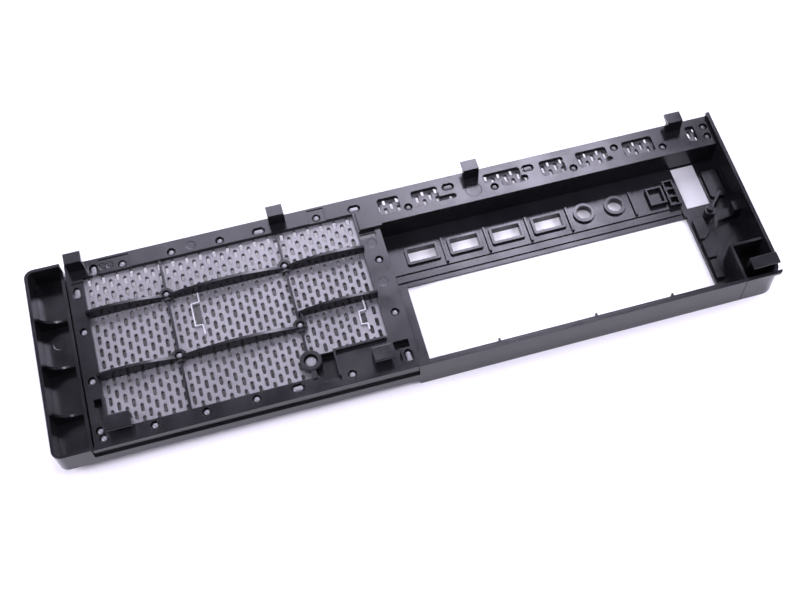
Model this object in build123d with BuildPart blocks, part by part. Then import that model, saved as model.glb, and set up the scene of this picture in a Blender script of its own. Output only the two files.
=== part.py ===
from build123d import *
import os

os.makedirs("parts", exist_ok=True)

# Overall size: X runs along the bezel, Y up its face, Z from the front towards the chassis.
# Places on the face are measured from the lower left corner, levels from the lowest front face.
LENGTH = 360.0
HEIGHT = 102.4
CLIP_REACH = 2.0
DEPTH = HEIGHT + CLIP_REACH

# Levels
PANEL_T = 2.6
GRILLE_FRONT = 12.1
GRILLE_T = 2.4
PLATE_T = 2.5
GRILLE_BACK = GRILLE_FRONT + GRILLE_T
PLATE_BACK = GRILLE_BACK + PLATE_T
RIM = 20.0
BAR_RIM = 18.8
CLIP_TOP = 25.0

# Walls and clearances
WALL = 1.6
BAR_T = 1.8
THIN_WALL = 1.2
CLEAR = 0.3

# End box at the left
BOX_W = 17.3
BOX_FRONT = 6.2
BOX_CORNER = 4.5
BOX_RIB_Y = (23.3, 49.0, 74.5)
BOX_RIB_TOP = 3.1
BOX_RIB_LOW = 14.0
CHANNEL_X = 18.7
CHANNEL_FLOOR = 8.0

# Left section: a grille opening inside border plates
SPLIT = 171.5
SKIN_T = 1.4
SKIN_FRONT_LEFT = 6.0
SKIN_FRONT_RIGHT = 4.0
LEDGE_LEFT = 12.0
LEDGE_RIGHT = 10.0
LEDGE_IN = 1.1
OPEN_LEFT = 26.4
OPEN_RIGHT = 161.5
OPEN_LOW = 9.3
OPEN_LOW_RIGHT = 20.5
OPEN_STEP_X = 125.5
OPEN_TOP = 93.4

# Raised drive section at the right
STRIP_LOW = 85.5
SECTION_CORNER = 7.0
BAY_LEFT = 179.0
BAY_RIGHT = 331.5
BAY_LOW = 10.5
BAY_TOP = 53.0
STEP_HEIGHTS = (55.8, 60.0)
STEP_DOWN = 0.7


def level(z):
    """Sketch plane parallel to the face at a level, with its origin over the lower left corner."""
    return Plane(origin=(-LENGTH / 2, -DEPTH / 2, z))


def across(x):
    """Sketch plane square to the length at x, where a sketch's x is Y and its y is Z."""
    return Plane(origin=(x - LENGTH / 2, -DEPTH / 2, 0), x_dir=(0, 1, 0), z_dir=(1, 0, 0))


def along(y):
    """Sketch plane along the length at y, where a sketch's x is X and its y is Z."""
    return Plane(origin=(-LENGTH / 2, y - DEPTH / 2, 0), x_dir=(1, 0, 0), z_dir=(0, -1, 0))


def pane(x0, y0, x1, y1, mode=Mode.ADD):
    """Rectangle given by two opposite corners, in the open sketch."""
    with Locations(((x0 + x1) / 2, (y0 + y1) / 2)):
        Rectangle(x1 - x0, y1 - y0, mode=mode)


def cut_pane(x0, y0, x1, y1, corner, mode=Mode.ADD):
    """Rectangle between two opposite corners with its corners cut off, in the open sketch."""
    Polygon(
        (x0 + corner, y0),
        (x1 - corner, y0),
        (x1, y0 + corner),
        (x1, y1 - corner),
        (x1 - corner, y1),
        (x0 + corner, y1),
        (x0, y1 - corner),
        (x0, y0 + corner),
        align=None,
        mode=mode,
    )


# Stakes: pins of the grille that pass through holes in the frame and are melted over there
STAKE_R = 1.8
STAKE_SIDES = 8
STAKE_TOP = PLATE_BACK - 0.3
TOP_ROW = HEIGHT - 6.3
LOW_ROW = 6.0
STRIP_ROW = STRIP_LOW + 4.2
ROUND_STAKES = (
    (46.2, TOP_ROW),
    (70.4, TOP_ROW),
    (94.6, TOP_ROW),
    (143.7, TOP_ROW),
    (22.9, 63.2),
    (22.7, 36.2),
    (22.4, 10.1),
    (23.4, 6.1),
    (46.7, LOW_ROW),
    (70.7, LOW_ROW),
    (94.2, LOW_ROW),
    (140.1, LOW_ROW),
    (168.1, 63.6),
    (168.0, 32.8),
    (190.2, STRIP_ROW),
    (236.3, STRIP_ROW),
    (279.4, STRIP_ROW),
    (304.1, TOP_ROW),
    (329.3, STRIP_ROW),
    (354.8, TOP_ROW),
    (354.8, STRIP_ROW),
)
OVAL_LONG = 2.2
UPRIGHT_OVALS = ((32.4, TOP_ROW), (22.9, 85.4))
LEVEL_OVALS = (
    (114.2, TOP_ROW),
    (113.8, LOW_ROW),
    (163.2, TOP_ROW),
    (212.9, TOP_ROW),
    (256.1, TOP_ROW),
)
PIN = (168.2, 8.0)
PIN_LONG = 2.8
CROSS_X = (63.8, 122.2)
CROSS_Y = (73.0, 38.4)
CROSS_BOSS_R = 3.4
BIG_STAKE = (122.8, 18.0)
BIG_STAKE_R = 3.0
BIG_BOSS_R = 5.2
BIG_BOSS_TOP = PLATE_BACK + 1.2


def stakes(grow):
    """Outlines of the stakes, or with a clearance of the holes round them, in the open sketch."""
    reach = OVAL_LONG / 2
    ends = [(x, y + d) for x, y in UPRIGHT_OVALS for d in (-reach, reach)]
    ends += [(x + d, y) for x, y in LEVEL_OVALS for d in (-reach, reach)]
    ends += [(PIN[0], PIN[1] + d) for d in (-PIN_LONG / 2, PIN_LONG / 2)]
    with Locations(*ROUND_STAKES, *[(x, y) for x in CROSS_X for y in CROSS_Y], *ends):
        RegularPolygon(STAKE_R + grow, STAKE_SIDES, major_radius=False, rotation=180 / STAKE_SIDES)
    with Locations(*UPRIGHT_OVALS):
        Rectangle(2 * (STAKE_R + grow), OVAL_LONG)
    with Locations(*LEVEL_OVALS):
        Rectangle(OVAL_LONG, 2 * (STAKE_R + grow))
    with Locations(PIN):
        Rectangle(2 * (STAKE_R + grow), PIN_LONG)
    with Locations(BIG_STAKE):
        RegularPolygon(BIG_STAKE_R + grow, 2 * STAKE_SIDES, major_radius=False)


# Windows of the strip above the drive section
WINDOW_LOW = STRIP_LOW + 3.2
WINDOW_TOP = HEIGHT - 4.2
WINDOW_CORNER = 0.9
WINDOWS = ((175.5, 186.5), (193.3, 207.2), (262.5, 275.7), (282.6, 299.5), (308.5, 325.2), (344.5, 349.6))
NOTCHED_WINDOW = (232.0, 251.7, 240.7, 254.8)
LOBES = ((206.0, 215.9), (298.3, 301.4))
LOBE_ROOT = 3.0
LOBE_TOP = WINDOW_LOW + 2.9
NOTCHED_WINDOW_LOW = LOBE_TOP + 1.0

# Notch between the mid plate and the strip, open right through
NOTCH = (162.2, 77.5, 170.3, 82.0)

# Wells: shallow pits in the plates, whose floors stand level with the front of the grille
WELLS = (
    (125.6, 6.0, 134.0, 20.0),
    (162.6, 6.0, 165.0, 14.0),
    (162.6, 12.6, 170.0, 17.0),
    (21.6, 14.6, 25.2, 26.4),
)
WELL_FLOOR = GRILLE_FRONT + 1.0
WELL_WALL = 1.0

# Recesses in the back of the plates
RECESSES = ((35.0, 92.0, 49.8, 101.2), (139.8, 93.0, 148.2, 101.2), (20.6, 80.8, 28.0, 91.0))
RECESS_DEEP = 0.5

# Raised details on the plates
STEP_BLOCK = (163.0, 82.0, 174.6, 93.0)
STEP_BLOCK_H = 1.6
LOW_RIB = (135.0, 19.3, 160.4, 20.5)
LOW_RIB_H = 2.2
EDGE_RIB_W = 1.0

# Ribs over the grille
RIB_T = 1.4
RIB_HIGH = PLATE_BACK + 4.3
RIB_LOW = PLATE_BACK + 0.8
BAR_TOP = GRILLE_BACK + 1.9
OFFSET_RIB_Y = 44.2

# Clips that hold the chassis, along the upper edge
CLIP_X = (20.4, 120.2, 221.8, 334.2)
CLIP_W = 8.2
CLIP_FRONT_Y = HEIGHT - 4.7
CLIP_POST_Y = HEIGHT - 1.8
CLIP_NOSE = 2.2

# Hooks that reach over the chassis edge, along the lower edge
HOOK_TOP = PLATE_BACK + 6.0
HOOK_T = 1.6
LEFT_HOOK = (25.8, 37.5)
MID_HOOK = (151.7, 160.8)
HOOK_LOW = 6.2
HOOK_HIGH = 14.4
END_HOOK = (344.0, 358.0)
END_HOOK_LOW = 3.0
END_HOOK_HIGH = 9.5

# Fins that stiffen the bar
FIN_X = (212.2, 261.7, 301.6)
FIN_T = 1.1
FIN_REACH = 4.2

# Pocket walls, pads and block at the right end
POCKET_LEFT = 340.4
POCKET_TOP = 23.2
POCKET_WALL = 1.4
POCKET_H = 17.4
PADS = (
    ((332.6, 48.8), (338.6, 48.8), (339.0, 40.6), (335.2, 37.0), (332.6, 37.0)),
    ((332.6, 35.4), (336.6, 35.4), (337.4, 25.2), (332.6, 25.2)),
    ((332.6, 23.8), (336.2, 23.8), (336.6, 12.8), (332.6, 12.8)),
)
PAD_TOP = 5.0
END_BLOCK = (353.8, 45.4, 51.0)
END_BLOCK_TOP = 11.0
WEDGE = ((345.4, 44.6), (354.0, 45.6), (355.0, 50.4), (347.6, 50.2))
WEDGE_TOP = 6.0
SEAM_X = 340.3
SEAM_W = 0.4
SEAM_DEEP = 0.3

# Port openings
USB_X = (184.3, 207.0, 229.6, 252.3)
USB_W = 14.6
USB_LOW = 65.5
USB_H = 7.4
PORT_RIM = 1.5
PORT_RIM_H = 1.4
JACK_X = (279.7, 296.9)
JACK_Y = 69.8
JACK_R = 4.0
JACK_RIM_R = 5.7
DIVIDER_X = (203.0, 226.0, 248.6, 271.0, 306.5)
DIVIDER_LOW = 61.0
DIVIDER_HIGH = 75.5
LAMP_FRAME = (315.0, 63.2, 324.2, 74.0)
LAMP_WALL = 1.1
LADDER = (325.2, 60.4, 331.2, 76.2)
LADDER_WALL = 1.0
LADDER_CELLS = 3
LAMP_RIM_H = 2.6

# Power button and its pocket
BUTTON_LEFT = 348.2
BUTTON_W = 8.4
BUTTON_LOW = 60.0
BUTTON_H = 17.0
BUTTON_FRONT = 0.4
BUTTON_BACK = 4.2
BUTTON_CORNER = 1.2
TRAVEL = 1.5
ARM_POST = (343.0, 51.0)
ARM_POST_R = 1.5
ARM_EYE_R = 2.9
ARM_W = 1.3
ARM_LOW = PANEL_T + 0.4
ARM_H = 4.6
ARM_START = (BUTTON_LEFT + 4.5, BUTTON_LOW + 1.0)

# Paper label
LABEL = (333.5, 57.6, 346.2, 83.2)
LABEL_T = 0.15


def ring(x0, y0, x1, y1, wall):
    """Frame of a given wall inside two opposite corners, in the open sketch."""
    pane(x0, y0, x1, y1)
    pane(x0 + wall, y0 + wall, x1 - wall, y1 - wall, mode=Mode.SUBTRACT)


def hook(x0, x1, y0, y1, base, top):
    """Hook with its lip towards the lower edge, from a base level up."""
    with BuildSketch(across(x0)) as profile:
        with BuildLine():
            FilletPolyline(
                (y1, base),
                (y1, top),
                (y0, top),
                (y0, top - HOOK_T),
                (y1 - HOOK_T, top - HOOK_T),
                (y1 - HOOK_T, base),
                radius=0.75,
            )
            Line((y1 - HOOK_T, base), (y1, base))
        make_face()
    extrude(profile.sketch, amount=x1 - x0)


def arched_rib(y, x0, x1, z0, z1):
    """Rib across the grille whose top arches up between its ends."""
    with BuildSketch(along(y + RIB_T)) as profile:
        with BuildLine():
            ThreePointArc((x0, z0), ((x0 + x1) / 2, RIB_HIGH), (x1, z1))
            Polyline((x1, z1), (x1, GRILLE_BACK), (x0, GRILLE_BACK), (x0, z0))
        make_face()
    extrude(profile.sketch, amount=RIB_T)


with BuildPart() as bezel_frame:
    # Border plates and strip behind the grille
    with BuildSketch(level(GRILLE_BACK)):
        pane(CHANNEL_X, LEDGE_IN, SPLIT + WALL, HEIGHT)
        pane(SPLIT, STRIP_LOW - WALL, LENGTH, HEIGHT)
        pane(OPEN_LEFT, OPEN_LOW, OPEN_STEP_X, OPEN_TOP, mode=Mode.SUBTRACT)
        pane(OPEN_STEP_X, OPEN_LOW_RIGHT, OPEN_RIGHT, OPEN_TOP, mode=Mode.SUBTRACT)
        pane(*NOTCH, mode=Mode.SUBTRACT)
        for x0, x1 in WINDOWS:
            cut_pane(x0, WINDOW_LOW, x1, WINDOW_TOP, WINDOW_CORNER, Mode.SUBTRACT)
        x0, x1, x2, x3 = NOTCHED_WINDOW
        cut_pane(x0, NOTCHED_WINDOW_LOW, x1, WINDOW_TOP, WINDOW_CORNER, Mode.SUBTRACT)
        cut_pane(x2, WINDOW_LOW, x1, WINDOW_TOP, WINDOW_CORNER, Mode.SUBTRACT)
        cut_pane(x1 - LOBE_ROOT, WINDOW_LOW, x3, NOTCHED_WINDOW_LOW, WINDOW_CORNER, Mode.SUBTRACT)
        for x0, x1 in LOBES:
            cut_pane(x0 - LOBE_ROOT, WINDOW_LOW, x1, LOBE_TOP, WINDOW_CORNER, Mode.SUBTRACT)
    extrude(amount=PLATE_T)

    # Wells and raised details of the plates
    with BuildSketch(level(GRILLE_FRONT)):
        for x0, y0, x1, y1 in WELLS:
            pane(x0 - WELL_WALL, y0 - WELL_WALL, x1 + WELL_WALL, y1 + WELL_WALL)
    extrude(amount=GRILLE_T)
    with BuildSketch(level(WELL_FLOOR)):
        for well in WELLS:
            pane(*well)
    extrude(amount=PLATE_BACK - WELL_FLOOR, mode=Mode.SUBTRACT)
    with BuildSketch(level(PLATE_BACK - RECESS_DEEP)):
        for recess in RECESSES:
            pane(*recess)
    extrude(amount=RECESS_DEEP, mode=Mode.SUBTRACT)
    with BuildSketch(level(PLATE_BACK)):
        pane(*STEP_BLOCK)
    extrude(amount=STEP_BLOCK_H)
    with BuildSketch(level(PLATE_BACK)):
        pane(*LOW_RIB)
        pane(LOW_RIB[0] - EDGE_RIB_W, WELLS[0][1], LOW_RIB[0], LOW_RIB[3])
    extrude(amount=LOW_RIB_H)

    # Ribs, low bars and bosses over the grille
    for y in CROSS_Y:
        arched_rib(y - 2.0, OPEN_LEFT - 1, CROSS_X[0], PLATE_BACK + 3.4, RIB_LOW)
        arched_rib(y - 2.0, CROSS_X[0], CROSS_X[1], RIB_LOW, RIB_LOW)
    arched_rib(CROSS_Y[0] - 2.0, CROSS_X[1], OPEN_RIGHT + 1, RIB_LOW, PLATE_BACK + 2.5)
    arched_rib(OFFSET_RIB_Y, CROSS_X[1] + 0.6, OPEN_RIGHT + 1, RIB_LOW, PLATE_BACK + 2.5)
    with BuildSketch(level(GRILLE_BACK)):
        for x in CROSS_X:
            pane(x - THIN_WALL / 2, OPEN_LOW - 1, x + THIN_WALL / 2, OPEN_TOP + 1)
    extrude(amount=BAR_TOP - GRILLE_BACK)
    with BuildSketch(level(GRILLE_BACK)):
        pane(CROSS_X[1] + THIN_WALL, CROSS_Y[1] - 2.0, CROSS_X[1] + THIN_WALL + RIB_T, OFFSET_RIB_Y + RIB_T)
        pane(BIG_STAKE[0] - THIN_WALL, OPEN_LOW - 1, BIG_STAKE[0] + THIN_WALL, BIG_STAKE[1])
    extrude(amount=RIB_LOW - GRILLE_BACK)
    with BuildSketch(level(GRILLE_BACK)):
        with Locations(*[(x, y) for x in CROSS_X for y in CROSS_Y]):
            RegularPolygon(CROSS_BOSS_R, STAKE_SIDES, major_radius=False, rotation=180 / STAKE_SIDES)
    extrude(amount=PLATE_T)
    with BuildSketch(level(GRILLE_BACK)):
        with Locations(BIG_STAKE):
            RegularPolygon(BIG_BOSS_R, 2 * STAKE_SIDES, major_radius=False)
    extrude(amount=BIG_BOSS_TOP - GRILLE_BACK)

    # Top skin and right end wall
    with BuildSketch(level(GRILLE_FRONT)):
        pane(CHANNEL_X, HEIGHT - THIN_WALL, LENGTH, HEIGHT)
        pane(LENGTH - BAR_T, STRIP_LOW - WALL, LENGTH, HEIGHT)
    extrude(amount=PLATE_BACK - GRILLE_FRONT)

    # Raised drive section: front panel, walls round it, bar and right wall
    with BuildSketch(level(0)) as section:
        pane(SPLIT, 0, LENGTH, STRIP_LOW)
        fillet(section.vertices().sort_by(lambda v: v.X - v.Y)[-1], SECTION_CORNER)
    extrude(amount=PANEL_T)
    with BuildSketch(level(0)) as section_wall:
        pane(SPLIT, 0, LENGTH, STRIP_LOW)
        fillet(section_wall.vertices().sort_by(lambda v: v.X - v.Y)[-1], SECTION_CORNER)
        with BuildSketch(mode=Mode.SUBTRACT) as inside:
            pane(SPLIT + WALL, BAR_T, LENGTH - BAR_T, STRIP_LOW - WALL)
            fillet(inside.vertices().sort_by(lambda v: v.X - v.Y)[-1], SECTION_CORNER - BAR_T)
    extrude(amount=PLATE_BACK)
    with BuildSketch(level(PLATE_BACK)) as bar:
        pane(SPLIT, 0, LENGTH, BAR_T)
        fillet(bar.vertices().sort_by(lambda v: v.X - v.Y)[-1], BAR_T * 0.9)
    extrude(amount=BAR_RIM - PLATE_BACK)
    with BuildSketch(level(PLATE_BACK)):
        pane(LENGTH - BAR_T, SECTION_CORNER, LENGTH, HEIGHT)
    extrude(amount=RIM - PLATE_BACK)

    # Steps down to the drive opening, and the openings in the panel
    for i, y in enumerate(STEP_HEIGHTS):
        with BuildSketch(level(PANEL_T - STEP_DOWN * (len(STEP_HEIGHTS) - i))):
            pane(BAY_LEFT - 4, BAY_TOP - 1, BAY_RIGHT - 1, y)
        extrude(amount=PANEL_T, mode=Mode.SUBTRACT)
    with BuildSketch(level(0)):
        pane(BAY_LEFT, BAY_LOW, BAY_RIGHT, BAY_TOP)
    extrude(amount=PANEL_T, mode=Mode.SUBTRACT)
    with BuildSketch(level(PANEL_T)):
        for x in USB_X:
            rim = (x - PORT_RIM, USB_LOW - PORT_RIM, x + USB_W + PORT_RIM, USB_LOW + USB_H + PORT_RIM)
            cut_pane(*rim, PORT_RIM / 2)
        with Locations(*[(x, JACK_Y) for x in JACK_X]):
            RegularPolygon(JACK_RIM_R, 2 * STAKE_SIDES, major_radius=False)
        for x in DIVIDER_X:
            pane(x - THIN_WALL / 2, DIVIDER_LOW, x + THIN_WALL / 2, DIVIDER_HIGH)
    extrude(amount=PORT_RIM_H)
    with BuildSketch(level(PANEL_T)):
        ring(*LAMP_FRAME, LAMP_WALL)
    extrude(amount=LAMP_RIM_H)
    with BuildSketch(level(PANEL_T)):
        x0, y0, x1, y1 = LADDER
        cell = (y1 - y0 - LADDER_WALL) / LADDER_CELLS
        for i in range(LADDER_CELLS):
            ring(x0, y0 + i * cell, x1, y0 + (i + 1) * cell + LADDER_WALL, LADDER_WALL)
    extrude(amount=LAMP_RIM_H)
    with BuildSketch(level(0)):
        for x in USB_X:
            pane(x, USB_LOW, x + USB_W, USB_LOW + USB_H)
        with Locations(*[(x, JACK_Y) for x in JACK_X]):
            Circle(JACK_R)
        cut_pane(
            BUTTON_LEFT - CLEAR,
            BUTTON_LOW - CLEAR,
            BUTTON_LEFT + BUTTON_W + CLEAR,
            BUTTON_LOW + BUTTON_H + CLEAR,
            BUTTON_CORNER,
        )
    extrude(amount=PANEL_T + PORT_RIM_H, mode=Mode.SUBTRACT)
    with BuildSketch(level(PANEL_T)):
        with Locations(ARM_POST):
            Circle(ARM_POST_R)
    extrude(amount=ARM_LOW + ARM_H + TRAVEL + 0.5 - PANEL_T)

    # Fins on the bar, pocket walls, pads and block at the right end
    with BuildSketch(level(PANEL_T / 2)):
        for x in FIN_X:
            pane(x - FIN_T / 2, BAR_T / 2, x + FIN_T / 2, FIN_REACH)
    extrude(amount=BAR_RIM - PANEL_T / 2)
    with BuildSketch(level(PANEL_T / 2)):
        pane(POCKET_LEFT, BAR_T / 2, POCKET_LEFT + POCKET_WALL, POCKET_TOP)
        pane(POCKET_LEFT, POCKET_TOP - POCKET_WALL, LENGTH - BAR_T / 2, POCKET_TOP)
    extrude(amount=POCKET_H - PANEL_T / 2)
    for outline in PADS:
        with BuildSketch(level(PANEL_T / 2)):
            with BuildLine():
                Polyline(*outline, close=True)
            make_face()
        extrude(amount=PAD_TOP - PANEL_T / 2)
    with BuildSketch(level(PANEL_T / 2)):
        with BuildLine():
            Polyline(*WEDGE, close=True)
        make_face()
    extrude(amount=WEDGE_TOP - PANEL_T / 2)
    with BuildSketch(level(PANEL_T / 2)):
        pane(END_BLOCK[0], END_BLOCK[1], LENGTH - BAR_T / 2, END_BLOCK[2])
    extrude(amount=END_BLOCK_TOP - PANEL_T / 2)
    with BuildSketch(level(0)):
        pane(SEAM_X - SEAM_W / 2, -1, SEAM_X + SEAM_W / 2, SEAM_DEEP)
    extrude(amount=BAR_RIM, mode=Mode.SUBTRACT)

    # Left end box with its inner wall, channel and ribs
    with BuildSketch(level(BOX_FRONT)) as box_front:
        pane(0, 0, CHANNEL_X + WALL, HEIGHT)
        fillet(box_front.vertices().group_by(Axis.X)[0], BOX_CORNER)
    extrude(amount=CHANNEL_FLOOR - BOX_FRONT)
    with BuildSketch(level(BOX_FRONT)) as box_wall:
        pane(0, 0, BOX_W, HEIGHT)
        fillet(box_wall.vertices().group_by(Axis.X)[0], BOX_CORNER)
        with BuildSketch(mode=Mode.SUBTRACT) as box_inside:
            pane(WALL, WALL, BOX_W, HEIGHT - WALL)
            fillet(box_inside.vertices().group_by(Axis.X)[0], BOX_CORNER - WALL)
    extrude(amount=RIM - BOX_FRONT)
    with BuildSketch(level(BOX_FRONT)):
        pane(BOX_W - WALL, 0, BOX_W, HEIGHT)
    extrude(amount=BOX_RIB_LOW - BOX_FRONT)
    with BuildSketch(level(BOX_FRONT)):
        pane(CHANNEL_X, LEDGE_IN, CHANNEL_X + WALL, HEIGHT)
    extrude(amount=PLATE_BACK - BOX_FRONT)
    for y in BOX_RIB_Y:
        with BuildSketch(along(y + THIN_WALL / 2)):
            with BuildLine():
                Line((WALL / 2, RIM), (BOX_RIB_TOP, RIM))
                TangentArc((BOX_RIB_TOP, RIM), (BOX_W, BOX_RIB_LOW), tangent=(0.3, -1))
                Line((BOX_W, BOX_RIB_LOW), (BOX_W, CHANNEL_FLOOR))
                Polyline((BOX_W, CHANNEL_FLOOR), (WALL / 2, CHANNEL_FLOOR), (WALL / 2, RIM))
            make_face()
        extrude(amount=THIN_WALL)

    # Lower skin of the left section, whose front edge slopes towards the drive section
    with BuildSketch(across(BOX_W - WALL / 2)):
        with BuildLine():
            Polyline(
                (0, SKIN_FRONT_LEFT),
                (0, LEDGE_LEFT),
                (LEDGE_IN, LEDGE_LEFT),
                (LEDGE_IN, PLATE_BACK),
                (LEDGE_IN + WALL, PLATE_BACK),
                (LEDGE_IN + WALL, LEDGE_LEFT - 1),
                (SKIN_T, LEDGE_LEFT - 2),
                (SKIN_T, SKIN_FRONT_LEFT),
                close=True,
            )
        make_face()
    with BuildSketch(across(SPLIT + WALL / 2)):
        with BuildLine():
            Polyline(
                (0, SKIN_FRONT_RIGHT),
                (0, LEDGE_RIGHT),
                (LEDGE_IN, LEDGE_RIGHT),
                (LEDGE_IN, PLATE_BACK),
                (LEDGE_IN + WALL, PLATE_BACK),
                (LEDGE_IN + WALL, LEDGE_RIGHT - 1),
                (SKIN_T, LEDGE_RIGHT - 2),
                (SKIN_T, SKIN_FRONT_RIGHT),
                close=True,
            )
        make_face()
    loft(ruled=True)

    # Clips and hooks
    for x in CLIP_X:
        with BuildSketch(across(x)):
            with BuildLine():
                Polyline(
                    (CLIP_FRONT_Y, PLATE_BACK - 0.5),
                    (CLIP_FRONT_Y, CLIP_TOP),
                    (DEPTH - 0.8, CLIP_TOP),
                    (DEPTH, CLIP_TOP - 0.8),
                    (DEPTH, CLIP_TOP - CLIP_NOSE),
                    (CLIP_POST_Y, CLIP_TOP - CLIP_NOSE - 0.6),
                    (CLIP_POST_Y, PLATE_BACK - 0.5),
                    close=True,
                )
            make_face()
        extrude(amount=CLIP_W)
    hook(*LEFT_HOOK, HOOK_LOW, HOOK_HIGH, PLATE_BACK - 0.5, HOOK_TOP)
    hook(*MID_HOOK, HOOK_LOW, HOOK_HIGH, PLATE_BACK - 0.5, HOOK_TOP)
    hook(*END_HOOK, END_HOOK_LOW, END_HOOK_HIGH, PANEL_T - 0.5, CLIP_TOP)

    # Holes for the stakes
    with BuildSketch(level(GRILLE_BACK)):
        stakes(CLEAR)
    extrude(amount=RIB_HIGH - GRILLE_BACK, mode=Mode.SUBTRACT)

bezel_frame.part.label = "bezel_frame"
export_step(bezel_frame.part, "parts/bezel_frame.step")

# Grille: columns of upright slots, every second column half a pitch higher
SLOT_W = 1.6
SLOT_L = 4.7
SLOT_PITCH_X = 3.4
SLOT_PITCH_Y = 6.55
SLOT_X0 = 32.8
SLOT_Y0 = 62.2
GRILLE_LEFT = CHANNEL_X + WALL + CLEAR
GRILLE_LOW = LEDGE_IN + WALL + CLEAR
GRILLE_TOP = HEIGHT - THIN_WALL - CLEAR
GRILLE_RIGHT = LENGTH - BAR_T - CLEAR
SLOT_MARGIN = 0.8
CUT_OUTS = ((74.5, 53.2, 78.0, 65.0), (151.4, 32.4, 154.1, 37.8))


def slot_places(x0, y0, x1, y1):
    """Centres of the slots that lie whole inside a rectangle."""
    places = []
    first = int((x0 - SLOT_X0) // SLOT_PITCH_X)
    last = int((x1 - SLOT_X0) // SLOT_PITCH_X) + 1
    for column in range(first, last + 1):
        x = SLOT_X0 + column * SLOT_PITCH_X
        if not x0 + SLOT_W / 2 <= x <= x1 - SLOT_W / 2:
            continue
        y = SLOT_Y0 + (column % 2) * SLOT_PITCH_Y / 2
        y -= SLOT_PITCH_Y * int((y - y0) // SLOT_PITCH_Y)
        while y + SLOT_L / 2 <= y1:
            if y - SLOT_L / 2 >= y0:
                places.append((x, y))
            y += SLOT_PITCH_Y
    return places


def clear_of_stakes(place):
    """Whether a slot leaves metal round the stakes that stand in the open field."""
    x, y = place
    for sx in CROSS_X:
        for sy in CROSS_Y:
            if abs(x - sx) < STAKE_R + SLOT_W / 2 + 0.3 and abs(y - sy) < STAKE_R + SLOT_L / 2 + 0.3:
                return False
    sx, sy = BIG_STAKE
    return not (abs(x - sx) < BIG_STAKE_R + SLOT_W and abs(y - sy) < BIG_STAKE_R + SLOT_L / 2)


def clear_of_step(place):
    """Whether a slot lies left of the opening's step or above it."""
    x, y = place
    return x < OPEN_STEP_X or y > OPEN_LOW_RIGHT + SLOT_L / 2


with BuildPart() as grille:
    field = slot_places(OPEN_LEFT + SLOT_MARGIN, OPEN_LOW, OPEN_RIGHT - SLOT_MARGIN, OPEN_TOP)
    field = [place for place in field if clear_of_stakes(place) and clear_of_step(place)]
    with BuildSketch(level(GRILLE_FRONT)):
        pane(GRILLE_LEFT, GRILLE_LOW, SPLIT - CLEAR, GRILLE_TOP)
        pane(SPLIT - CLEAR, STRIP_LOW + CLEAR, GRILLE_RIGHT, GRILLE_TOP)
        pane(*NOTCH, mode=Mode.SUBTRACT)
        room = WELL_WALL + CLEAR
        for x0, y0, x1, y1 in WELLS:
            pane(x0 - room, y0 - room, x1 + room, y1 + room, mode=Mode.SUBTRACT)
        for cut_out in CUT_OUTS:
            pane(*cut_out, mode=Mode.SUBTRACT)
        with Locations(*field):
            Rectangle(SLOT_W, SLOT_L, mode=Mode.SUBTRACT)
    extrude(amount=GRILLE_T)
    with BuildSketch(level(GRILLE_BACK)):
        stakes(0)
    extrude(amount=STAKE_TOP - GRILLE_BACK)

grille.part.label = "grille"
export_step(grille.part, "parts/grille.step")
print("slots", len(field))

# Power button with its spring arm
with BuildPart() as power_button:
    with BuildSketch(level(BUTTON_FRONT)):
        cut_pane(BUTTON_LEFT, BUTTON_LOW, BUTTON_LEFT + BUTTON_W, BUTTON_LOW + BUTTON_H, BUTTON_CORNER)
    extrude(amount=BUTTON_BACK - BUTTON_FRONT)
    arm = Vector(*ARM_POST) - Vector(*ARM_START)
    with BuildSketch(level(ARM_LOW)):
        with Locations((Vector(*ARM_START) + Vector(*ARM_POST)) / 2):
            Rectangle(arm.length, ARM_W, rotation=Vector(1, 0, 0).get_signed_angle(arm, Vector(0, 0, 1)))
        with Locations(ARM_POST):
            Circle(ARM_EYE_R)
            Circle(ARM_POST_R + CLEAR, mode=Mode.SUBTRACT)
    extrude(amount=ARM_H)

power_button.part.label = "power_button"
export_step(power_button.part, "parts/power_button.step")

# Paper label on the back of the panel
with BuildPart() as paper_label:
    with BuildSketch(level(PANEL_T)):
        pane(*LABEL)
    extrude(amount=LABEL_T)

paper_label.part.label = "paper_label"
export_step(paper_label.part, "parts/paper_label.step")
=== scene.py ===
# %% [markdown]
# A slim desktop computer's front bezel lies face down on a pale table, so its back is up.
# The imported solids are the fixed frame: the moulding, the grille, the power button and the label.
# This lesson dresses them. It finishes each plastic, models the grille again with its round-ended
# slots and melted stakes, and lights the whole as a plain product picture.

# %% Load the frame
import math

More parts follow.
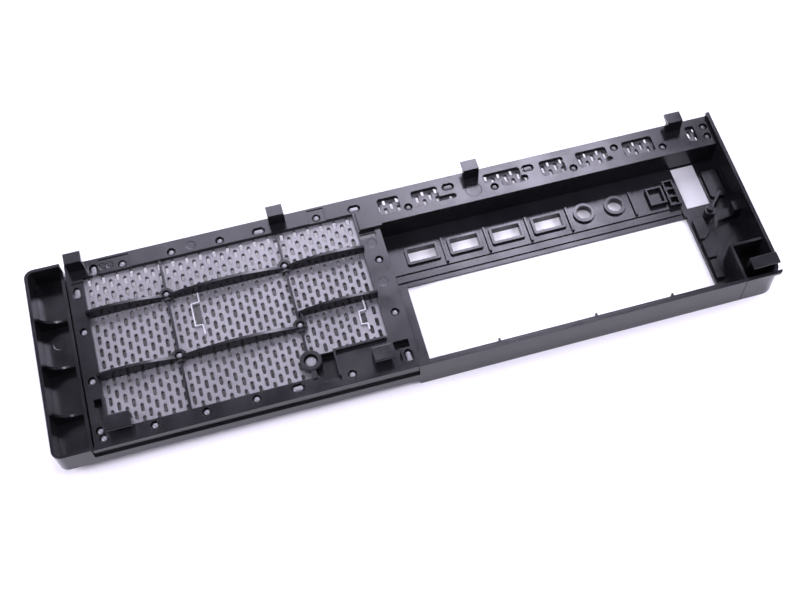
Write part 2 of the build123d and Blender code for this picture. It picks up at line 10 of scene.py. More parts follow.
import bmesh
import bpy
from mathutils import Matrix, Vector


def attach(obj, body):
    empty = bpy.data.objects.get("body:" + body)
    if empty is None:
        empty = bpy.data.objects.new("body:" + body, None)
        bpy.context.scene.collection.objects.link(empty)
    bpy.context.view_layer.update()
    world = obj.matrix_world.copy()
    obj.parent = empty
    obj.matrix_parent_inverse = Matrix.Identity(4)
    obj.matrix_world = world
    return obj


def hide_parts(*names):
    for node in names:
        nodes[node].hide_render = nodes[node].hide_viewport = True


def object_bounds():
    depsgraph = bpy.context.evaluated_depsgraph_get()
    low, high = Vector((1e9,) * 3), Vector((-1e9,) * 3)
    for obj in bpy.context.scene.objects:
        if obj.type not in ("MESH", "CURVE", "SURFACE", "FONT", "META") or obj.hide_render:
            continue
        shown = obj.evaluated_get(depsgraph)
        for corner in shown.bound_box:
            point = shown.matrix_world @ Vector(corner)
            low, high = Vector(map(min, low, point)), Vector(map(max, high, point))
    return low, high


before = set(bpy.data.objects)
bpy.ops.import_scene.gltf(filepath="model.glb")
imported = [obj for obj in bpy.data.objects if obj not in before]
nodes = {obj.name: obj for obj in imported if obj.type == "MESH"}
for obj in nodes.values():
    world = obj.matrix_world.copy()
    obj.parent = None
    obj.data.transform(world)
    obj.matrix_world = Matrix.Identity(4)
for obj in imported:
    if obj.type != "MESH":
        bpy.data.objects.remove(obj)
CAD_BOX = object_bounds()
print("nodes:", sorted(nodes), "box:", CAD_BOX)

# %% [markdown]
# Places on the bezel are easiest to read from its lower left corner, because that is how a
# moulding drawing gives them. The frame's origin is under the middle of the box, so one small
# helper turns corner millimetres into scene metres.

# %% Corner millimetres to scene metres
MM = 0.001
CORNER = Vector(CAD_BOX[0])


def at(x, y, z=0.0):
    """Scene point for corner millimetres."""
    return CORNER + Vector((x, y, z)) * MM


print("lower left corner:", at(0, 0))

# %% [markdown]
# An operator acts on all that is selected, and loading leaves the frame selected. So each step
# that uses one starts from nothing selected.

# %% Start from nothing selected
def deselect():
    """Deselects every object."""
    bpy.ops.object.select_all(action="DESELECT")


deselect()
print("selected:", len(bpy.context.selected_objects))

# %% [markdown]
# The camera stands in front of the table and looks down at the bezel's back from the lower left,
# as the photograph does. Its place and turn come from the photograph's vanishing points. A small
# shift, with no change of direction, frames the bezel where the photograph has it.

# %% Camera
CAMERA_AT = (117.4, -239.8, 525.1)
CAMERA_TURN = (26.437, -2.026, -17.180)
LENS_MM = 53.28
SHIFT = (-0.1225, 0.06875)

bpy.ops.object.camera_add(location=at(*CAMERA_AT), rotation=[math.radians(a) for a in CAMERA_TURN])
camera = bpy.context.object
camera.name = "camera"
camera.data.lens = LENS_MM
camera.data.shift_x, camera.data.shift_y = SHIFT
bpy.context.scene.camera = camera
print("camera at", camera.location)

# %% [markdown]
# Black plastic shows mostly what it mirrors, so the surroundings matter more than any lamp. They
# are drawn in the world's nodes, from the direction in which a mirrored ray leaves the bezel. One
# node gives a smooth step along such a direction, and another joins two steps.

# %% Nodes for the surroundings
world = bpy.data.worlds.new("surroundings")
world.use_nodes = True
bpy.context.scene.world = world
room_tree = world.node_tree


def ramp(value, limits, low, high):
    """World node that goes smoothly from low to high as a value passes its limits."""
    node = room_tree.nodes.new("ShaderNodeMapRange")
    node.interpolation_type = "SMOOTHSTEP"
    for socket, number in zip(("From Min", "From Max", "To Min", "To Max"), (*limits, low, high)):
        node.inputs[socket].default_value = number
    room_tree.links.new(value, node.inputs["Value"])
    return node.outputs["Result"]


def combine(kind, first, second):
    """World node that joins two values, of which the second may be a plain number."""
    node = room_tree.nodes.new("ShaderNodeMath")
    node.operation = kind
    room_tree.links.new(first, node.inputs[0])
    if isinstance(second, float):
        node.inputs[1].default_value = second
    else:
        room_tree.links.new(second, node.inputs[1])
    return node.outputs["Value"]


axes = room_tree.nodes.new("ShaderNodeSeparateXYZ")
direction = room_tree.nodes.new("ShaderNodeTexCoord").outputs["Generated"]
room_tree.links.new(direction, axes.inputs["Vector"])
across, back = axes.outputs["X"], axes.outputs["Y"]
print("directions:", across.name, back.name)

# %% [markdown]
# The room has one bright window behind the bezel, and is dim elsewhere. That leaves walls that
# face the camera almost black, and gives the upward faces their grey sheen, which fades at the
# left end, at the right end and towards the camera. The part of the window behind the drive
# section reaches lower and is brighter.

# %% Room and window
ROOM_TINT = (0.955, 0.915, 1.14)
ROOM_DIM = 0.2
ROOM_BRIGHT = 5.7
WINDOW_LOW = (0.51, 0.56)
WINDOW_HIGH = (0.88, 1.0)
WINDOW_LEFT = (-0.14, -0.105)
WINDOW_RIGHT = (0.28, 0.322)
DRIVE_PART = (0.11, 0.14)
DRIVE_DROP = 0.075
DRIVE_GAIN = 2.2

lowered = combine("ADD", back, ramp(across, DRIVE_PART, 0.0, DRIVE_DROP))
window = ramp(lowered, WINDOW_LOW, 0.0, ROOM_BRIGHT)
for side in (
    ramp(back, WINDOW_HIGH, 1.0, 0.0),
    ramp(across, WINDOW_LEFT, 0.0, 1.0),
    ramp(across, DRIVE_PART, 1.0, DRIVE_GAIN),
    ramp(across, WINDOW_RIGHT, 1.0, 0.0),
):
    window = combine("MULTIPLY", window, side)
room = room_tree.nodes["Background"]
room.inputs["Color"].default_value = (*ROOM_TINT, 1)
room_tree.links.new(combine("ADD", window, ROOM_DIM), room.inputs["Strength"])
print("room light from", ROOM_DIM, "to", ROOM_DIM + ROOM_BRIGHT)

# %% [markdown]
# The picture has a white background. The camera alone sees the room as plain white, and the
# plastic still mirrors the real one.

# %% White for the camera
WHITE = (1, 1, 1, 1)

seen = room_tree.nodes.new("ShaderNodeBackground")
seen.inputs["Color"].default_value = WHITE
path = room_tree.nodes.new("ShaderNodeLightPath")
mix = room_tree.nodes.new("ShaderNodeMixShader")
room_tree.links.new(path.outputs["Is Camera Ray"], mix.inputs["Fac"])
room_tree.links.new(room.outputs["Background"], mix.inputs[1])
room_tree.links.new(seen.outputs["Background"], mix.inputs[2])
room_tree.links.new(mix.outputs["Shader"], room_tree.nodes["World Output"].inputs["Surface"])
print("background seen:", WHITE)

# %% [markdown]
# Two soft lamps stand to the left and right. They whiten the table and the label, but slant too
# much to pass the narrow slots of the grille, so the table under it stays dark. A weak third one
# overhead reaches down through the port openings.

# %% Lamps
LAMPS = (
    ("left_lamp", (-0.78, -0.12, 0.62), 10.5),
    ("right_lamp", (0.78, -0.12, 0.62), 10.5),
    ("top_lamp", (0.1, -0.15, 1.0), 1.3),
)
LAMP_AIM = (180.0, 52.0)
LAMP_DISTANCE = 1.1
LAMP_SIZE = 0.6

for name, side, watts in LAMPS:
    towards = Vector(side).normalized()
    deselect()
    bpy.ops.object.light_add(type="AREA", location=at(*LAMP_AIM) + towards * LAMP_DISTANCE)
    lamp = bpy.context.object
    lamp.name = name
    lamp.data.shape = "SQUARE"
    lamp.data.size = LAMP_SIZE
    lamp.data.energy = watts
    lamp.data.color = ROOM_TINT
    lamp.rotation_euler = towards.to_track_quat("Z", "Y").to_euler()
print("lamps:", [name for name, side, watts in LAMPS])

# %% [markdown]
# The table is one plain matt sheet. Its colour is a little warm, because the light is a little
# cold, and the two together look white.

# %% Table
TABLE_SIZE = 6.0
TABLE_COLOUR = (0.90, 0.90, 0.86)
TABLE_ROUGHNESS = 0.7

deselect()
bpy.ops.mesh.primitive_plane_add(size=TABLE_SIZE, location=(0, 0, 0))
floor = bpy.context.object
floor.name = "table"
table_material = bpy.data.materials.new("pale_table")
table_material.use_nodes = True
table_shader = table_material.node_tree.nodes["Principled BSDF"]
table_shader.inputs["Base Color"].default_value = (*TABLE_COLOUR, 1)
table_shader.inputs["Roughness"].default_value = TABLE_ROUGHNESS
floor.data.materials.append(table_material)
bpy.context.scene.view_settings.view_transform = "Standard"
print("table:", TABLE_SIZE, "metres wide")

# %% [markdown]
# An effect that several finishes share is a node group with named sockets. One helper makes an
# empty group. Two more place a noise in it and spread that noise over a range, because a noise
# value seldom leaves the middle of its scale.

# %% Helpers for node groups
NOISE_MIDDLE = (0.35, 0.65)


def new_group(name, inputs, outputs):
    """Empty shader node group with named sockets, and its input and output nodes."""
    group = bpy.data.node_groups.new(name, "ShaderNodeTree")
    for label, kind, value in inputs:
        socket = group.interface.new_socket(label, in_out="INPUT", socket_type=kind)
        socket.default_value = value
    for label, kind in outputs:
        group.interface.new_socket(label, in_out="OUTPUT", socket_type=kind)
    return group, group.nodes.new("NodeGroupInput"), group.nodes.new("NodeGroupOutput")


def noise(group, scale, detail, vector):
    """Noise node of a group, in features per metre, that reads the given coordinates."""
    node = group.nodes.new("ShaderNodeTexNoise")
    node.inputs["Scale"].default_value = scale
    node.inputs["Detail"].default_value = detail
    group.links.new(vector, node.inputs["Vector"])
    return node.outputs["Fac"]


def spread(group, value, low, high):
    """Maps the middle of a noise value to a range from low to high, clamped."""
    node = group.nodes.new("ShaderNodeMapRange")
    node.inputs["From Min"].default_value, node.inputs["From Max"].default_value = NOISE_MIDDLE
    group.links.new(value, node.inputs["Value"])
    for socket, limit in (("To Min", low), ("To Max", high)):
        if isinstance(limit, float):
            node.inputs[socket].default_value = limit
        else:
            group.links.new(limit, node.inputs[socket])
    return node.outputs["Result"]


print("noise is read from", *NOISE_MIDDLE)

# %% [markdown]
# Moulded plastic is never one flat colour. The tool leaves a fine spark-eroded grain, the melt
# leaves faint cloudy flow patches, and handling polishes some places. One group gives these to
# every finish here: it puts out a colour, a roughness and a height, and each material sets its
# own amounts. Each noise has its scale in features per metre and its detail.

# %% Moulded plastic node group
FLOW_NOISE = (28.0, 3.0)
SHEEN_NOISE = (75.0, 4.0)
GRAIN_NOISE = (2600.0, 2.0)

plastic_group, plastic_in, plastic_out = new_group(
    "moulded_plastic",
    [
        ("Colour", "NodeSocketColor", (0.05, 0.05, 0.055, 1)),
        ("Cloudy Colour", "NodeSocketColor", (0.07, 0.07, 0.08, 1)),
        ("Smooth", "NodeSocketFloat", 0.35),
        ("Rough", "NodeSocketFloat", 0.5),
        ("Grain", "NodeSocketFloat", 0.5),
    ],
    [("Colour", "NodeSocketColor"), ("Roughness", "NodeSocketFloat"), ("Height", "NodeSocketFloat")],
)
on_piece = plastic_group.nodes.new("ShaderNodeTexCoord").outputs["Object"]
flow = spread(plastic_group, noise(plastic_group, *FLOW_NOISE, on_piece), 0.0, 1.0)
colour_mix = plastic_group.nodes.new("ShaderNodeMix")
colour_mix.data_type = "RGBA"
plastic_group.links.new(flow, colour_mix.inputs["Factor"])
plastic_group.links.new(plastic_in.outputs["Colour"], colour_mix.inputs["A"])
plastic_group.links.new(plastic_in.outputs["Cloudy Colour"], colour_mix.inputs["B"])
plastic_group.links.new(colour_mix.outputs["Result"], plastic_out.inputs["Colour"])
sheen = noise(plastic_group, *SHEEN_NOISE, on_piece)
roughness = spread(plastic_group, sheen, plastic_in.outputs["Smooth"], plastic_in.outputs["Rough"])
plastic_group.links.new(roughness, plastic_out.inputs["Roughness"])
grain = plastic_group.nodes.new("ShaderNodeMath")
grain.operation = "MULTIPLY"
plastic_group.links.new(noise(plastic_group, *GRAIN_NOISE, on_piece), grain.inputs[0])
plastic_group.links.new(plastic_in.outputs["Grain"], grain.inputs[1])
plastic_group.links.new(grain.outputs["Value"], plastic_out.inputs["Height"])
print("group:", plastic_group.name, "nodes:", len(plastic_group.nodes))

# %% [markdown]
# The pins that push a moulding out of its tool leave faint round marks. A second group gives a
# mask that is one inside a small ball about a point, so it draws a disc where a surface cuts it.

# %% Round mark node group
MARK_EDGE = 0.4 * MM

mark_group, mark_in, mark_out = new_group(
    "round_mark",
    [("Centre", "NodeSocketVector", (0, 0, 0)), ("Radius", "NodeSocketFloat", 0.003)],
    [("Mask", "NodeSocketFloat")],
)
distance = mark_group.nodes.new("ShaderNodeVectorMath")
distance.operation = "DISTANCE"
mark_group.links.new(mark_group.nodes.new("ShaderNodeTexCoord").outputs["Object"], distance.inputs[0])
mark_group.links.new(mark_in.outputs["Centre"], distance.inputs[1])
inside = mark_group.nodes.new("ShaderNodeMath")
inside.operation = "SUBTRACT"
mark_group.links.new(mark_in.outputs["Radius"], inside.inputs[0])
mark_group.links.new(distance.outputs["Value"], inside.inputs[1])
fade = mark_group.nodes.new("ShaderNodeMapRange")
fade.interpolation_type = "SMOOTHSTEP"
fade.inputs["From Max"].default_value = MARK_EDGE
mark_group.links.new(inside.outputs["Value"], fade.inputs["Value"])
mark_group.links.new(fade.outputs["Result"], mark_out.inputs["Mask"])
print("group:", mark_group.name, "nodes:", len(mark_group.nodes))

# %% [markdown]
# Each plastic is one Principled shader fed by the first group. The shader stays in the material,
# and a Bump node turns the grain's height into a slight tilt of the surface. A Bevel node makes
# every sharp edge catch light as a worn moulding's edge does.

# %% One plastic
EDGE_RADIUS = 0.25 * MM
EDGE_SAMPLES = 4
GRAIN_DEPTH = 0.04 * MM
GRAIN_STRENGTH = 0.6


def plastic(name, colour, cloudy, smooth, rough, grain_amount, metallic=0.0):
    """Material of one moulded plastic."""
    material = bpy.data.materials.new(name)
    material.use_nodes = True
    tree = material.node_tree
    shader = tree.nodes["Principled BSDF"]
    group = tree.nodes.new("ShaderNodeGroup")
    group.node_tree = plastic_group
    group.inputs["Colour"].default_value = (*colour, 1)
    group.inputs["Cloudy Colour"].default_value = (*cloudy, 1)
    group.inputs["Smooth"].default_value = smooth
    group.inputs["Rough"].default_value = rough
    group.inputs["Grain"].default_value = grain_amount
    bump = tree.nodes.new("ShaderNodeBump")
    bump.inputs["Distance"].default_value = GRAIN_DEPTH
    bump.inputs["Strength"].default_value = GRAIN_STRENGTH
    soft_edge = tree.nodes.new("ShaderNodeBevel")
    soft_edge.samples = EDGE_SAMPLES
    soft_edge.inputs["Radius"].default_value = EDGE_RADIUS
    tree.links.new(soft_edge.outputs["Normal"], bump.inputs["Normal"])
    tree.links.new(group.outputs["Height"], bump.inputs["Height"])
    tree.links.new(bump.outputs["Normal"], shader.inputs["Normal"])
    tree.links.new(group.outputs["Colour"], shader.inputs["Base Color"])
    tree.links.new(group.outputs["Roughness"], shader.inputs["Roughness"])
    shader.inputs["Metallic"].default_value = metallic
    return material


def finish_node(name, material):
    """Gives a CAD node its material."""
    node = nodes[name]
    node.data.materials.clear()
    node.data.materials.append(material)


print("edges catch light over", EDGE_RADIUS, "metres")

# %% [markdown]
# The frame is near-black plastic with a satin sheen. Its ejector marks are masks of the second
# group, added together and pressed in a little by one more Bump node under the grain.

# %% The frame's black plastic with its ejector marks
MARK_DEPTH = 0.08 * MM
EJECTOR_MARKS = (
    (225.3, 90.8, 17.0, 4.3),
    (80.5, 97.4, 17.0, 2.4),
    (36.6, 97.4, 17.0, 2.0),
    (40.2, 97.4, 17.0, 2.0),
    (167.0, 74.0, 17.0, 2.6),
    (167.0, 51.0, 17.0, 2.6),
    (9.0, 65.0, 8.0, 3.0),
)


def add_round_marks(material, marks):
    """Presses faint round marks, given in corner millimetres with a radius, into a plastic."""
    tree = material.node_tree
    total = None
    for x, y, z, radius in marks:
        mark = tree.nodes.new("ShaderNodeGroup")
        mark.node_tree = mark_group
        mark.inputs["Centre"].default_value = at(x, y, z)
        mark.inputs["Radius"].default_value = radius * MM
        if total is None:
            total = mark.outputs["Mask"]
            continue
        add = tree.nodes.new("ShaderNodeMath")
        tree.links.new(total, add.inputs[0])
        tree.links.new(mark.outputs["Mask"], add.inputs[1])
        total = add.outputs["Value"]
    dent = tree.nodes.new("ShaderNodeBump")
    dent.invert = True
    dent.inputs["Distance"].default_value = MARK_DEPTH
    tree.links.new(total, dent.inputs["Height"])
    bump = tree.nodes["Bump"]
    edge = bump.inputs["Normal"].links[0].from_socket
    tree.links.new(edge, dent.inputs["Normal"])
    tree.links.new(dent.outputs["Normal"], bump.inputs["Normal"])


frame_plastic = plastic(
    "frame_plastic",
    colour=(0.006, 0.006, 0.007),
    cloudy=(0.010, 0.010, 0.011),
    smooth=0.15,
    rough=0.24,
    grain_amount=0.3,
)
add_round_marks(frame_plastic, EJECTOR_MARKS)
finish_node("bezel_frame", frame_plastic)
print("frame:", frame_plastic.name, "marks:", len(EJECTOR_MARKS))

# %% [markdown]
# The grille is a dull silver finish on plastic, so it is only part metallic. Where the strip hides the
# grille, its colour is multiplied by a darker one: painted shade for the shadow inside the strip's shallow
# windows.

# %% The grille's silver, with painted shade under the strip
STRIP_START = 168.0
STRIP_FADE = 3.0
STRIP_PAINTED_SHADE = 0.45


def paint_shade_past(material, x, length, factor):
    """Paints shade on a plastic by multiplying its colour where it lies past a place along the bezel."""
    tree = material.node_tree
    axes = tree.nodes.new("ShaderNodeSeparateXYZ")
    tree.links.new(tree.nodes.new("ShaderNodeTexCoord").outputs["Object"], axes.inputs["Vector"])
    fade = tree.nodes.new("ShaderNodeMapRange")
    fade.inputs["From Min"].default_value = at(x, 0).x
    fade.inputs["From Max"].default_value = at(x + length, 0).x
    tree.links.new(axes.outputs["X"], fade.inputs["Value"])
    shade = tree.nodes.new("ShaderNodeMix")
    shade.data_type = "RGBA"
    shade.blend_type = "MULTIPLY"
    shade.inputs["B"].default_value = (factor, factor, factor, 1)
    tree.links.new(fade.outputs["Result"], shade.inputs["Factor"])
    shader = tree.nodes["Principled BSDF"]
    tree.links.new(shader.inputs["Base Color"].links[0].from_socket, shade.inputs["A"])
    tree.links.new(shade.outputs["Result"], shader.inputs["Base Color"])


silver_paint = plastic(
    "silver_paint",
    colour=(0.185, 0.182, 0.186),
    cloudy=(0.225, 0.221, 0.225),
    smooth=0.3,
    rough=0.42,
    grain_amount=0.4,
    metallic=0.4,
)
# The darker colour past the strip's start is painted shade, for the shadow inside the strip's shallow
# windows.
paint_shade_past(silver_paint, STRIP_START, STRIP_FADE, STRIP_PAINTED_SHADE)
finish_node("grille", silver_paint)
print("grille:", silver_paint.name)

# %% [markdown]
# The power button is the same black plastic as the frame with a duller surface. The label is bare
# coated paper with a faint fibre mottle, and the same group serves for that.

# %% Button and label
button_plastic = plastic(
    "button_plastic",
    colour=(0.008, 0.008, 0.009),
    cloudy=(0.011, 0.011, 0.013),
    smooth=0.24,
    rough=0.36,
    grain_amount=0.4,
)
label_paper = plastic(
    "label_paper",
    colour=(0.56, 0.56, 0.55),
    cloudy=(0.51, 0.51, 0.50),
    smooth=0.45,
    rough=0.6,
    grain_amount=0.3,
)
finish_node("power_button", button_plastic)
finish_node("paper_label", label_paper)
print("button:", button_plastic.name, "label:", label_paper.name)

# %% [markdown]
# The grille is one silver sheet behind the whole left part and the strip. The frame's solid has
# straight-ended slots, which is enough for fit and weight. Here the sheet is drawn again, with
# round ends to its slots. Its outline, plain holes and slot grid repeat the moulding's measures
# in corner millimetres.

# %% Measures of the grille
GRILLE_FRONT = 12.1
GRILLE_T = 2.4
GRILLE_BACK = GRILLE_FRONT + GRILLE_T
GRILLE_OUTLINE = (
    (20.6, 3.0),
    (171.2, 3.0),
    (171.2, 11.3),
    (166.3, 11.3),
    (166.3, 4.7),
    (161.3, 4.7),
    (161.3, 18.3),
    (171.2, 18.3),
    (171.2, 85.8),
    (357.9, 85.8),
    (357.9, 100.9),
    (20.6, 100.9),
    (20.6, 27.7),
    (26.5, 27.7),
    (26.5, 13.3),
    (20.6, 13.3),
)
GRILLE_NOTCHES = ((161.3, 4.7, 171.3, 18.3), (20.3, 13.3, 26.5, 27.7))
GRILLE_HOLES = (
    (124.3, 4.7, 135.3, 21.3),
    (162.2, 77.5, 170.3, 82.0),
    (74.5, 53.2, 78.0, 65.0),
    (151.4, 32.4, 154.1, 37.8),
)
print("outline corners:", len(GRILLE_OUTLINE), "plain holes:", len(GRILLE_HOLES))

# %% [markdown]
# The stakes are pins of the same sheet that pass through the frame's holes and are melted over
# there. They stand in rows along the edges, with four at the crossings of the ribs and a thick
# one low in the middle. Where a hole is oval, so is its stake, and the third number is how far
# its two halves lie apart.

# %% Places of the stakes
ROUND_STAKES = (
    (46.2, 96.1),
    (70.4, 96.1),
    (94.6, 96.1),
    (143.7, 96.1),
    (22.9, 63.2),
    (22.7, 36.2),
    (22.4, 10.1),
    (23.4, 6.1),
    (46.7, 6.0),
    (70.7, 6.0),
    (94.2, 6.0),
    (140.1, 6.0),
    (168.1, 63.6),
    (168.0, 32.8),
    (190.2, 89.7),
    (236.3, 89.7),
    (279.4, 89.7),
    (304.1, 96.1),
    (329.3, 89.7),
    (354.8, 96.1),
    (354.8, 89.7),
)
CROSSING_STAKES = ((63.8, 73.0), (63.8, 38.4), (122.2, 73.0), (122.2, 38.4))
UPRIGHT_OVALS = ((32.4, 96.1, 2.2), (22.9, 85.4, 2.2), (168.2, 8.0, 2.8))
LEVEL_OVALS = (
    (114.2, 96.1, 2.2),
    (113.8, 6.0, 2.2),
    (163.2, 96.1, 2.2),
    (212.9, 96.1, 2.2),
    (256.1, 96.1, 2.2),
)
BIG_STAKE = (122.8, 18.0)
print("round stakes:", len(ROUND_STAKES), "oval stakes:", len(UPRIGHT_OVALS + LEVEL_OVALS))

# %% [markdown]
# The slots stand upright in columns, and every second column is half a step higher. They fill the
# left part in two rectangles, because its lower right corner is plain, and the strip in a third.

# %% Slot grid
SLOT_W = 1.6
SLOT_L = 4.7
SLOT_PITCH = (3.417, 6.688)
SLOT_START = (32.12, 61.32)
SLOT_FIELDS = (
    (25.6, 9.3, 125.5, 93.4),
    (125.5, 20.5, 161.5, 93.4),
    (173.0, 88.0, 352.0, 98.6),
)


def slot_centres(x0, y0, x1, y1):
    """Centres of the slots whose middle lies inside a rectangle."""
    pitch_x, pitch_y = SLOT_PITCH
    centres = []
    first = math.ceil((x0 - SLOT_START[0]) / pitch_x)
    last = math.floor((x1 - SLOT_START[0]) / pitch_x)
    for column in range(first, last + 1):
        x = SLOT_START[0] + column * pitch_x
        start = SLOT_START[1] + (column % 2) * pitch_y / 2
        low = math.ceil((y0 - start) / pitch_y)
        high = math.floor((y1 - start) / pitch_y)
        centres += [(x, start + row * pitch_y) for row in range(low, high + 1)]
    return centres


grid = [centre for field in SLOT_FIELDS for centre in slot_centres(*field)]
print("places in the grid:", len(grid))

# %% [markdown]
# A slot is left out where it would cut a stake's foot, a plain hole or a notch, or leave too thin
# a wall beside it. The feet are a little wider than the melted heads.

# %% Slots that keep clear
SLOT_MARGIN = 0.3
STAKE_R = 1.8
BIG_STAKE_R = 3.0


def clear_of_stakes(x, y):
    """Whether a slot at this centre leaves plastic round every stake."""
    reach_x = STAKE_R + SLOT_W / 2 + SLOT_MARGIN
    reach_y = STAKE_R + SLOT_L / 2 + SLOT_MARGIN
    for sx, sy in ROUND_STAKES + CROSSING_STAKES:
        if abs(x - sx) < reach_x and abs(y - sy) < reach_y:
            return False
    sx, sy = BIG_STAKE
    return abs(x - sx) > BIG_STAKE_R + SLOT_W or abs(y - sy) > BIG_STAKE_R + SLOT_L / 2


def clear_of_gap(x, y, x0, y0, x1, y1):
    """Whether a slot at this centre keeps its margin to a plain hole or a notch."""
    reach_x = SLOT_W / 2 + SLOT_MARGIN
    reach_y = SLOT_L / 2 + SLOT_MARGIN
    return not (x0 - reach_x < x < x1 + reach_x and y0 - reach_y < y < y1 + reach_y)


slots = [centre for centre in grid if clear_of_stakes(*centre)]
for gap in GRILLE_HOLES + GRILLE_NOTCHES:
    slots = [centre for centre in slots if clear_of_gap(*centre, *gap)]
print("slots:", len(slots))

# %% [markdown]
# A flat curve is the short way to a flat piece with a clear outline. Its lines are traced in
# corner millimetres. It becomes a mesh before its height is applied, so that its place ends up in
# the mesh.

# %% Helpers for flat curves
def trace(curve, points, closed=True):
    """Adds a straight-sided line through corner millimetres to a flat curve."""
    spline = curve.splines.new("POLY")
    spline.points.add(len(points) - 1)
    for point, (x, y) in zip(spline.points, points):
        place = at(x, y)
        point.co = (place.x, place.y, 0, 1)
    spline.use_cyclic_u = closed


def raise_curve(curve, name, middle):
    """Makes a mesh piece from a flat curve, with its middle at a height in millimetres."""
    piece = bpy.data.objects.new(name, curve)
    bpy.context.collection.objects.link(piece)
    deselect()
    piece.select_set(True)
    bpy.context.view_layer.objects.active = piece
    bpy.ops.object.convert(target="MESH")
    bpy.ops.transform.translate(value=(0, 0, at(0, 0, middle).z))
    bpy.ops.object.transform_apply(location=True, rotation=False, scale=False)
    return piece


print("curve helpers ready")

# %% [markdown]
# A filled flat curve takes any closed ring inside its outline as a hole, so the slots are rings.
# The curve's own bevel takes the sharp edge off. It grows outwards, so the curve's offset pulls it
# back by the same amount and the slots keep their width.

# %% Draw the sheet
GRILLE_EDGE = 0.18
SLOT_END_STEPS = 6


def slot_ring(x, y):
    """Points round a slot with round ends."""
    radius = SLOT_W / 2
    straight = SLOT_L / 2 - radius
    points = []
    for side, turn in ((1, 0.0), (-1, math.pi)):
        for step in range(SLOT_END_STEPS + 1):
            angle = turn + math.pi * step / SLOT_END_STEPS
            points.append((x + radius * math.cos(angle), y + side * straight + radius * math.sin(angle)))
    return points


sheet_curve = bpy.data.curves.new("grille_sheet", "CURVE")
sheet_curve.dimensions = "2D"
sheet_curve.fill_mode = "BOTH"
sheet_curve.extrude = (GRILLE_T / 2 - GRILLE_EDGE) * MM
sheet_curve.bevel_depth = GRILLE_EDGE * MM
sheet_curve.bevel_resolution = 1
sheet_curve.offset = -GRILLE_EDGE * MM
trace(sheet_curve, GRILLE_OUTLINE)
for x0, y0, x1, y1 in GRILLE_HOLES:
    trace(sheet_curve, ((x0, y0), (x1, y0), (x1, y1), (x0, y1)))
for centre in slots:
    trace(sheet_curve, slot_ring(*centre))
sheet = raise_curve(sheet_curve, "grille_sheet", GRILLE_FRONT + GRILLE_T / 2)
print("sheet faces:", len(sheet.data.polygons))

# %% [markdown]
# Each stake is a short pin whose top edge is melted round. A cylinder is the start, and a bevel of
# its upper rim makes the dome. The pin reaches a little into the sheet, so that no gap shows.

# %% Model the pins
STAKE_HEAD_R = 1.55
STAKE_H = 2.1
STAKE_CROWN = 1.2
CROSSING_HEAD_R = 1.4
CROSSING_H = 2.5
FLAT_CROWN = 1.0
ROOT = 0.3
PIN_SIDES = 24
BIG_PIN_SIDES = 32
MELT_STEPS = 4
MELT_PROFILE = 0.6


def make_pin(name, radius, height, crown, sides=PIN_SIDES):
    """Upright pin with a round top edge, whose root stands at the origin."""
    full = height + ROOT
    middle = (0, 0, full / 2 * MM)
    deselect()
    bpy.ops.mesh.primitive_cylinder_add(vertices=sides, radius=radius * MM, depth=full * MM, location=middle)
    pin = bpy.context.object
    pin.name = name
    bpy.ops.object.transform_apply(location=True, rotation=False, scale=False)
    bpy.ops.object.mode_set(mode="EDIT")
    bpy.ops.mesh.select_mode(type="EDGE")
    bpy.ops.mesh.select_all(action="DESELECT")
    mesh = bmesh.from_edit_mesh(pin.data)
    for edge in mesh.edges:
        edge.select_set(all(vertex.co.z > full / 2 * MM for vertex in edge.verts))
    bmesh.update_edit_mesh(pin.data)
    bpy.ops.mesh.bevel(offset=crown * MM, segments=MELT_STEPS, profile=MELT_PROFILE, affect="EDGES")
    bpy.ops.object.mode_set(mode="OBJECT")
    return pin


pin = make_pin("stake", STAKE_HEAD_R, STAKE_H, STAKE_CROWN)
crossing_pin = make_pin("crossing_stake", CROSSING_HEAD_R, CROSSING_H, FLAT_CROWN)
big_pin = make_pin("big_stake", BIG_STAKE_R, STAKE_H, FLAT_CROWN, BIG_PIN_SIDES)
print("pin faces:", [len(model.data.polygons) for model in (pin, crossing_pin, big_pin)])

# %% [markdown]
# Every stake is a copy of one of these pins with its own mesh. An oval one is the small pin with
# its two halves moved apart. The three models are deleted when all copies stand.

# %% Place the stakes
def place_copy(source, name, x, y):
    """Copy of a pin with its own mesh, rooted in the sheet at a place in corner millimetres."""
    copy = source.copy()
    copy.data = source.data.copy()
    copy.name = name
    bpy.context.collection.objects.link(copy)
    copy.location = at(x, y, GRILLE_BACK - ROOT)
    return copy


def stretch(piece, gap, upright):
    """Moves the two halves of a pin apart so that it becomes an oval."""
    for vertex in piece.data.vertices:
        if upright:
            vertex.co.y += math.copysign(gap / 2 * MM, vertex.co.y)
        else:
            vertex.co.x += math.copysign(gap / 2 * MM, vertex.co.x)


stakes = [place_copy(pin, "stake", x, y) for x, y in ROUND_STAKES]
stakes += [place_copy(crossing_pin, "crossing_stake", x, y) for x, y in CROSSING_STAKES]
for table, upright in ((UPRIGHT_OVALS, True), (LEVEL_OVALS, False)):
    for x, y, gap in table:
        oval = place_copy(pin, "oval_stake", x, y)
        stretch(oval, gap, upright)
        stakes.append(oval)
stakes.append(place_copy(big_pin, "big_stake", *BIG_STAKE))
for model in (pin, crossing_pin, big_pin):
    bpy.data.objects.remove(model)
print("stakes:", len(stakes))

# %% [markdown]
# Two tall cut-outs in the sheet have a thin zigzag ridge beside them, where the steel of the
# tool met. The ridges stand a little above the sheet. Each is an open flat curve, extruded to an
# upright ribbon, that Solidify then makes thick. A curve's faces come out smooth, and these are
# set flat to keep their corners crisp.

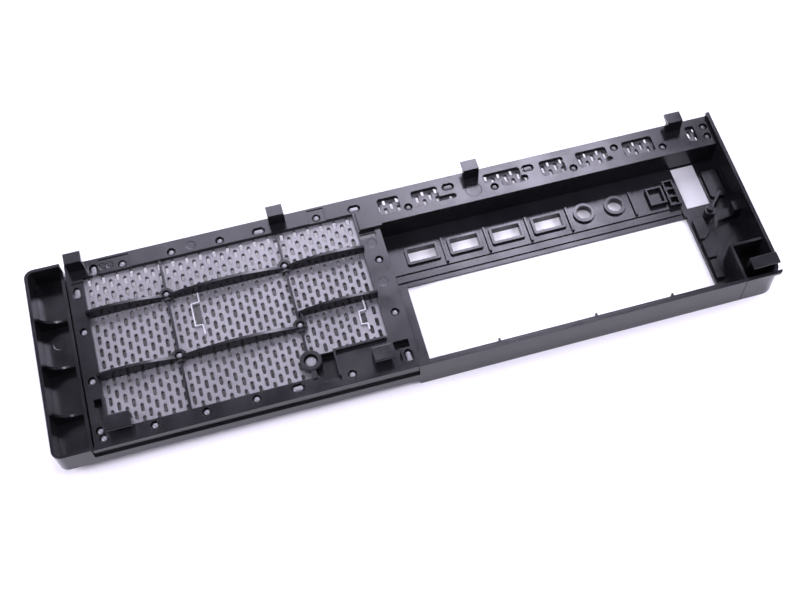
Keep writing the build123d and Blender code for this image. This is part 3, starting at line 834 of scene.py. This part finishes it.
# %% Model the ridges
RIDGES = (
    ((78.2, 70.4), (78.2, 65.2), (74.1, 65.0), (74.0, 52.6), (77.5, 52.5), (77.8, 47.0)),
    ((154.7, 44.3), (154.8, 38.8), (151.3, 38.7), (151.0, 31.5), (153.9, 31.3), (154.0, 27.8)),
)
RIDGE_W = 0.7
RIDGE_H = 1.2

ridges = []
for number, points in enumerate(RIDGES):
    ridge_curve = bpy.data.curves.new(f"ridge_{number}", "CURVE")
    ridge_curve.dimensions = "2D"
    ridge_curve.fill_mode = "NONE"
    ridge_curve.extrude = (RIDGE_H + ROOT) / 2 * MM
    trace(ridge_curve, points, closed=False)
    ridge = raise_curve(ridge_curve, f"ridge_{number}", GRILLE_BACK + (RIDGE_H - ROOT) / 2)
    bpy.ops.object.shade_flat()
    thick = ridge.modifiers.new("thickness", "SOLIDIFY")
    thick.thickness = RIDGE_W * MM
    thick.offset = 0
    bpy.ops.object.modifier_apply(modifier=thick.name)
    ridges.append(ridge)
print("ridges:", len(ridges))

# %% [markdown]
# The sheet and its stakes are one moulding, so they become one piece, which stands in for the
# frame's plain grille. The ridges are a second piece, because they are coloured nearly white: a painted
# highlight for their lit thin tops.
# Both ride on the bezel.

# %% Join the pieces and hand them to the frame
MERGE_DISTANCE = 0.002 * MM


def join_up(pieces, name, material):
    """Joins pieces into the first one, which gets the material and outward faces."""
    whole = pieces[0]
    deselect()
    for piece in pieces:
        piece.select_set(True)
    bpy.context.view_layer.objects.active = whole
    bpy.ops.object.join()
    whole.name = name
    whole.data.materials.clear()
    whole.data.materials.append(material)
    bpy.ops.object.mode_set(mode="EDIT")
    bpy.ops.mesh.select_all(action="SELECT")
    bpy.ops.mesh.remove_doubles(threshold=MERGE_DISTANCE)
    bpy.ops.mesh.normals_make_consistent(inside=False)
    bpy.ops.object.mode_set(mode="OBJECT")
    print(name, "faces:", len(whole.data.polygons))
    return whole


sheet = join_up([sheet] + stakes, "grille_sheet", silver_paint)
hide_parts("grille")
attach(sheet, "bezel")
# The ridges' near-white colour is a painted highlight for their lit thin tops.
painted_ridge_highlight = plastic(
    "painted_ridge_highlight",
    colour=(0.60, 0.60, 0.60),
    cloudy=(0.50, 0.50, 0.51),
    smooth=0.3,
    rough=0.45,
    grain_amount=0.2,
)
ridge_lines = join_up(ridges, "parting_ridges", painted_ridge_highlight)
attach(ridge_lines, "bezel")
